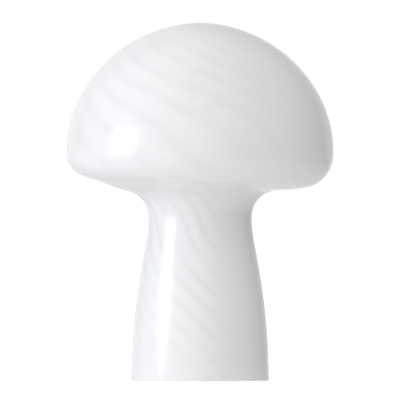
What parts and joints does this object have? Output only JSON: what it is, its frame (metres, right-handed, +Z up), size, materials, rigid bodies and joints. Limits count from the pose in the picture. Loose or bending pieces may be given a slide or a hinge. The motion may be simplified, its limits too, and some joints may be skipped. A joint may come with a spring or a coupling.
{
  "type": "mushroom table lamp",
  "caption": "Small mushroom table lamp: a one-piece blown opal glass cap and stem that lifts off a fitting with a lamp holder and bulb.",
  "frame": {"origin": "on the surface the lamp stands on, under the middle of its round foot", "axes": "+Z up along the lamp's axis, +Y to the back, where the cord comes out of the notch"},
  "size_m": [0.1714, 0.1714, 0.23],
  "materials": {
    "opal_glass": "glossy opaque opal with a fine twisted ribbing",
    "white_steel": "satin powder coat",
    "grey_rubber": "matt",
    "zinc_steel": "bright zinc",
    "spring_steel": "satin",
    "white_nylon": "moulded",
    "clear_nylon": "milky moulded",
    "brass": "machined",
    "clear_silicone": "milky, soft",
    "white_thermoset": "moulded, semi-gloss",
    "porcelain": "glazed",
    "nickel": "nickel plated",
    "brown_insulation": "extruded",
    "blue_insulation": "extruded",
    "solder": "domed solder",
    "black_insulator": "fused glass",
    "circuit_board": "solder mask",
    "clear_glass": "clear",
    "phosphor": "phosphor coat"
  },
  "bodies": {
    "fitting": {"base_pan": "white_steel", "bottom_cover": "white_steel", "rubber_feet": "grey_rubber", "standoffs": "zinc_steel", "cover_screws": "zinc_steel", "cord_gland": "white_nylon", "terminal_block": "clear_nylon", "terminal_barrels": "brass", "clamp_screws": "zinc_steel", "block_screw": "zinc_steel", "threaded_tube": "zinc_steel", "lock_washer": "spring_steel", "tube_nut_lower": "zinc_steel", "tube_nut_upper": "zinc_steel", "spring_hub": "spring_steel", "holder_cap": "white_thermoset", "holder_lock_screw": "zinc_steel", "holder_body": "white_thermoset", "holder_core": "porcelain", "live_terminal": "brass", "neutral_terminal": "brass", "terminal_screws": "zinc_steel", "holder_shell": "nickel", "contact_spring": "spring_steel", "lead_live": "brown_insulation", "lead_neutral": "blue_insulation"},
    "glass": {"glass_foot": "opal_glass", "glass_stem": "opal_glass", "glass_neck": "opal_glass", "glass_underside": "opal_glass", "glass_side": "opal_glass", "glass_crown": "opal_glass"},
    "plunger": {"centre_contact": "brass"},
    "bulb_foot": {"bulb_contact": "solder"},
    "bulb": {"bulb_insulator": "black_insulator", "bulb_cap": "nickel", "bulb_driver": "circuit_board", "bulb_envelope": "clear_glass", "bulb_stem": "clear_glass", "bulb_wires": "nickel", "bulb_filaments": "phosphor"},
    "arm_a": {"spring_arm_a": "spring_steel", "arm_pad_a": "clear_silicone"},
    "arm_b": {"spring_arm_b": "spring_steel", "arm_pad_b": "clear_silicone"},
    "arm_c": {"spring_arm_c": "spring_steel", "arm_pad_c": "clear_silicone"}
  },
  "joints": [
    {"name": "glass_lift", "type": "slide", "parent": "fitting", "child": "glass", "axis": [0, 0, 1], "range_m": [0, 0.185]},
    {"name": "bulb_rise", "type": "slide", "parent": "fitting", "child": "bulb_foot", "axis": [0, 0, 1], "range_m": [0, 0.0113]},
    {"name": "bulb_turn", "type": "hinge", "parent": "bulb_foot", "child": "bulb", "pos_m": [0, 0, 0.0922], "axis": [0, 0, 1], "range_deg": [0, 1440]},
    {"name": "contact_press", "type": "slide", "parent": "fitting", "child": "plunger", "axis": [0, 0, 1], "range_m": [-0.0015, 0], "stiffness_N_per_m": 1000, "deforming": ["contact_spring"]},
    {"name": "arm_a_flex", "type": "hinge", "parent": "fitting", "child": "arm_a", "pos_m": [0, 0.03, 0.0223], "axis": [1, 0, 0], "range_deg": [0, 8], "stiffness_Nm_per_rad": 0.2},
    {"name": "arm_b_flex", "type": "hinge", "parent": "fitting", "child": "arm_b", "pos_m": [-0.02598, -0.015, 0.0223], "axis": [-0.5, 0.866, 0], "range_deg": [0, 8], "stiffness_Nm_per_rad": 0.2},
    {"name": "arm_c_flex", "type": "hinge", "parent": "fitting", "child": "arm_c", "pos_m": [0.02598, -0.015, 0.0223], "axis": [-0.5, -0.866, 0], "range_deg": [0, 8], "stiffness_Nm_per_rad": 0.2}
  ],
  "couplings": [
    {"joint": "bulb_rise", "follows": "bulb_turn", "m_per_rad": 0.00044913}
  ]
}
